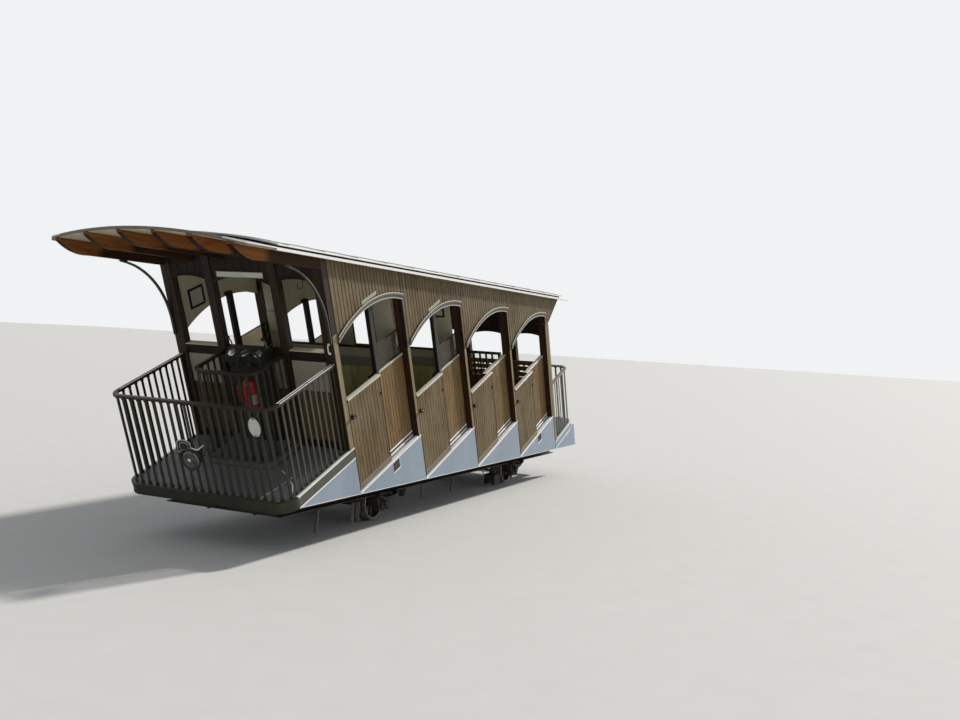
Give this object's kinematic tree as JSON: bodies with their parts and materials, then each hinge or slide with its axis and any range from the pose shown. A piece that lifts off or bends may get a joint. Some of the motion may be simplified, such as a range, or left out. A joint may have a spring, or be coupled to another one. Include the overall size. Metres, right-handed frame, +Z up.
{
  "type": "funicular car",
  "caption": "Stepped funicular car with open side doors, railed end platforms and a barrel roof on two rail axles.",
  "frame": {"origin": "middle of the car's length and width, at the lowest point of the wheel flanges", "axes": "+X downhill along the track, +Y to the far side, +Z up, square to the track; the car is stored on a level track"},
  "size_m": [10.144, 2.274, 3.2048],
  "materials": {
    "frame_black": "matt, dusty",
    "wheel_steel": "worn, rust-brown away from the tread",
    "deck_grey": "matt, scuffed",
    "skirt_pale": "satin, weathered",
    "slat_wood": "varnished boards, weathered",
    "post_wood": "dark varnish",
    "wall_cream": "painted, satin",
    "screen_glass": "clear, dusty",
    "trim_olive": "varnished",
    "roof_white": "matt",
    "rail_bronze": "satin",
    "desk_dark": "satin",
    "track_white": "satin",
    "lamp_steel": "satin"
  },
  "bodies": {
    "car": {"axle_box_pads": "frame_black", "axle_boxes": "frame_black", "benches": "slat_wood", "control_desk": "desk_dark", "door_tracks": "track_white", "downhill_deck": "deck_grey", "downhill_end_head": "wall_cream", "downhill_end_panels": "slat_wood", "downhill_end_posts": "post_wood", "downhill_railing": "rail_bronze", "driver_railing": "rail_bronze", "driver_step": "deck_grey", "far_arch_trims": "trim_olive", "far_door_posts": "post_wood", "far_panels": "slat_wood", "far_skirt": "skirt_pale", "far_upper_wall": "wall_cream", "floor_bearers": "frame_black", "glass_screens": "screen_glass", "headlamp": "lamp_steel", "horn_guides": "frame_black", "inner_railing": "post_wood", "mullions": "post_wood", "near_arch_trims": "trim_olive", "near_door_posts": "post_wood", "near_panels": "slat_wood", "near_skirt": "skirt_pale", "near_upper_wall": "wall_cream", "partitions": "wall_cream", "rafter_tails": "post_wood", "rafters": "post_wood", "rail_brakes": "frame_black", "rail_guards": "frame_black", "roof_battens": "post_wood", "roof_cover": "roof_white", "roof_deck": "roof_white", "spandrels": "post_wood", "stepped_floor": "deck_grey", "underframe": "frame_black", "uphill_deck": "deck_grey", "uphill_end_head": "wall_cream", "uphill_end_panels": "slat_wood", "uphill_end_posts": "post_wood", "uphill_railing": "rail_bronze"},
    "uphill_wheelset": {"uphill_axle": "wheel_steel", "uphill_wheels": "wheel_steel"},
    "downhill_wheelset": {"downhill_axle": "wheel_steel", "downhill_wheels": "wheel_steel"},
    "near_door_1": {"near_door_1": "slat_wood"},
    "near_door_2": {"near_door_2": "slat_wood"},
    "near_door_3": {"near_door_3": "slat_wood"},
    "near_door_4": {"near_door_4": "slat_wood"},
    "far_door_1": {"far_door_1": "slat_wood"},
    "far_door_2": {"far_door_2": "slat_wood"},
    "far_door_3": {"far_door_3": "slat_wood"},
    "far_door_4": {"far_door_4": "slat_wood"}
  },
  "joints": [
    {"name": "uphill_axle_spin", "type": "hinge", "parent": "car", "child": "uphill_wheelset", "pos_m": [-1.36738, 0, 0.265], "axis": [0, 1, 0], "continuous": true},
    {"name": "downhill_axle_spin", "type": "hinge", "parent": "car", "child": "downhill_wheelset", "pos_m": [2.93262, 0, 0.265], "axis": [0, 1, 0], "continuous": true},
    {"name": "near_door_1_slide", "type": "slide", "parent": "car", "child": "near_door_1", "axis": [0.9281, 0, 0.3723], "range_m": [0, 0.69]},
    {"name": "near_door_2_slide", "type": "slide", "parent": "car", "child": "near_door_2", "axis": [0.9281, 0, 0.3723], "range_m": [0, 0.69]},
    {"name": "near_door_3_slide", "type": "slide", "parent": "car", "child": "near_door_3", "axis": [0.9281, 0, 0.3723], "range_m": [0, 0.69]},
    {"name": "near_door_4_slide", "type": "slide", "parent": "car", "child": "near_door_4", "axis": [0.9281, 0, 0.3723], "range_m": [0, 0.69]},
    {"name": "far_door_1_slide", "type": "slide", "parent": "car", "child": "far_door_1", "axis": [0.9281, 0, 0.3723], "range_m": [0, 0.69]},
    {"name": "far_door_2_slide", "type": "slide", "parent": "car", "child": "far_door_2", "axis": [0.9281, 0, 0.3723], "range_m": [0, 0.69]},
    {"name": "far_door_3_slide", "type": "slide", "parent": "car", "child": "far_door_3", "axis": [0.9281, 0, 0.3723], "range_m": [0, 0.69]},
    {"name": "far_door_4_slide", "type": "slide", "parent": "car", "child": "far_door_4", "axis": [0.9281, 0, 0.3723], "range_m": [0, 0.69]}
  ]
}
